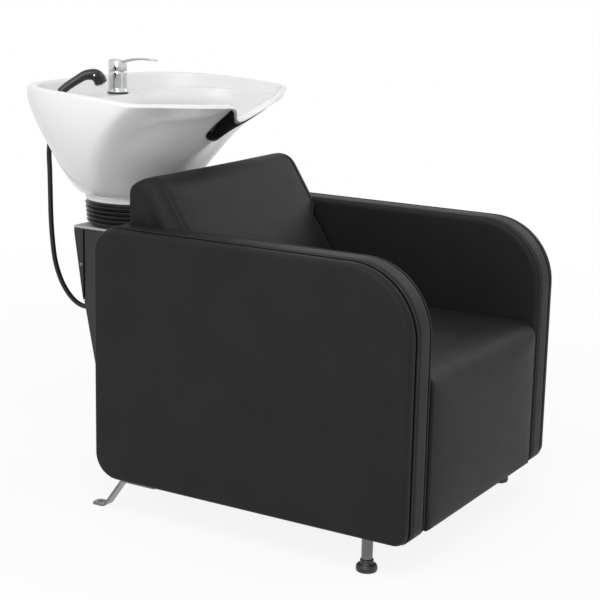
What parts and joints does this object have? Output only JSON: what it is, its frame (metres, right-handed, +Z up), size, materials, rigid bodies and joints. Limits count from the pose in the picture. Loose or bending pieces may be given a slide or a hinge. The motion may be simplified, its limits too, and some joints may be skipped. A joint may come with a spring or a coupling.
{
  "type": "salon backwash unit",
  "caption": "Upholstered salon armchair with a tilting glazed ceramic shampoo basin on a plumbing column, a lever mixer and a hand shower.",
  "frame": {"origin": "on the floor, under the middle of the unit's overall box", "axes": "+Z up; the chair faces -Y; the sitter's right hand is at -X"},
  "size_m": [0.7194, 1.09, 0.9766],
  "materials": {
    "black_vinyl": "satin black vinyl upholstery",
    "white_ceramic": "glossy white glaze",
    "chrome": "polished chrome plate",
    "frame_steel": "black powder coat",
    "column_grey": "dark grey satin paint",
    "top_plate_grey": "light grey satin paint",
    "black_plastic": "glossy black",
    "black_rubber": "matt black",
    "plywood": "raw plywood",
    "white_nylon": "matt off-white"
  },
  "bodies": {
    "chair": {"back_cushion": "black_vinyl", "bellows": "black_rubber", "cold_supply_hose": "black_rubber", "column_cover": "column_grey", "column_post": "frame_steel", "column_rear_cover": "column_grey", "column_top_plate": "top_plate_grey", "front_cross_rail": "frame_steel", "hose_grommet": "black_rubber", "hot_supply_hose": "black_rubber", "left_arm_panel": "black_vinyl", "left_beam": "frame_steel", "left_column_screw": "chrome", "left_front_leg": "chrome", "left_hinge_ear": "frame_steel", "left_hinge_pin": "chrome", "left_seat_cleat": "plywood", "left_strap_bolt_1": "chrome", "left_strap_bolt_2": "chrome", "left_strap_foot": "chrome", "mixed_water_hose": "black_rubber", "rear_cross_rail": "frame_steel", "rear_panel": "black_vinyl", "right_arm_panel": "black_vinyl", "right_beam": "frame_steel", "right_column_screw": "chrome", "right_front_leg": "chrome", "right_hinge_ear": "frame_steel", "right_hinge_pin": "chrome", "right_seat_cleat": "plywood", "right_strap_bolt_1": "chrome", "right_strap_bolt_2": "chrome", "right_strap_foot": "chrome", "seat_board": "plywood", "seat_cushion": "black_vinyl", "shower_hose": "black_rubber", "waste_pipe": "black_plastic"},
    "basin": {"basin": "white_ceramic", "neck_rest": "black_rubber", "mixer_gasket": "black_rubber", "mixer_body": "chrome", "mixer_nut": "chrome", "handset_dock": "black_plastic", "drain_flange": "chrome", "drain_nut": "chrome", "right_basin_bracket": "frame_steel", "left_basin_bracket": "frame_steel", "right_hinge_bush": "white_nylon", "left_hinge_bush": "white_nylon"},
    "mixer_stem": {"mixer_stem": "chrome"},
    "mixer_handle": {"mixer_handle": "chrome"},
    "hand_shower": {"hand_shower": "black_plastic", "spray_face": "chrome"},
    "hair_strainer": {"hair_strainer": "chrome"},
    "right_foot": {"right_levelling_foot": "black_plastic"},
    "left_foot": {"left_levelling_foot": "black_plastic"}
  },
  "joints": [
    {"name": "basin_tilt", "type": "hinge", "parent": "chair", "child": "basin", "pos_m": [0, 0.345, 0.615], "axis": [1, 0, 0], "range_deg": [-12, 4], "deforming": ["bellows", "shower_hose", "hot_supply_hose", "cold_supply_hose", "mixed_water_hose"]},
    {"name": "mixer_turn", "type": "hinge", "parent": "basin", "child": "mixer_stem", "pos_m": [0, 0.435, 0.95], "axis": [0, 0, 1], "range_deg": [-40, 40]},
    {"name": "mixer_lift", "type": "hinge", "parent": "mixer_stem", "child": "mixer_handle", "pos_m": [0, 0.457, 0.9429], "axis": [-1, 0, 0], "range_deg": [0, 15]},
    {"name": "hand_shower_pull", "type": "slide", "parent": "basin", "child": "hand_shower", "axis": [0, 0, 1], "range_m": [0, 0.06]},
    {"name": "hair_strainer_lift", "type": "slide", "parent": "basin", "child": "hair_strainer", "axis": [0, 0, 1], "range_m": [0, 0.04]},
    {"name": "right_foot_level", "type": "slide", "parent": "chair", "child": "right_foot", "axis": [0, 0, -1], "range_m": [0, 0.012]},
    {"name": "left_foot_level", "type": "slide", "parent": "chair", "child": "left_foot", "axis": [0, 0, -1], "range_m": [0, 0.012]}
  ]
}
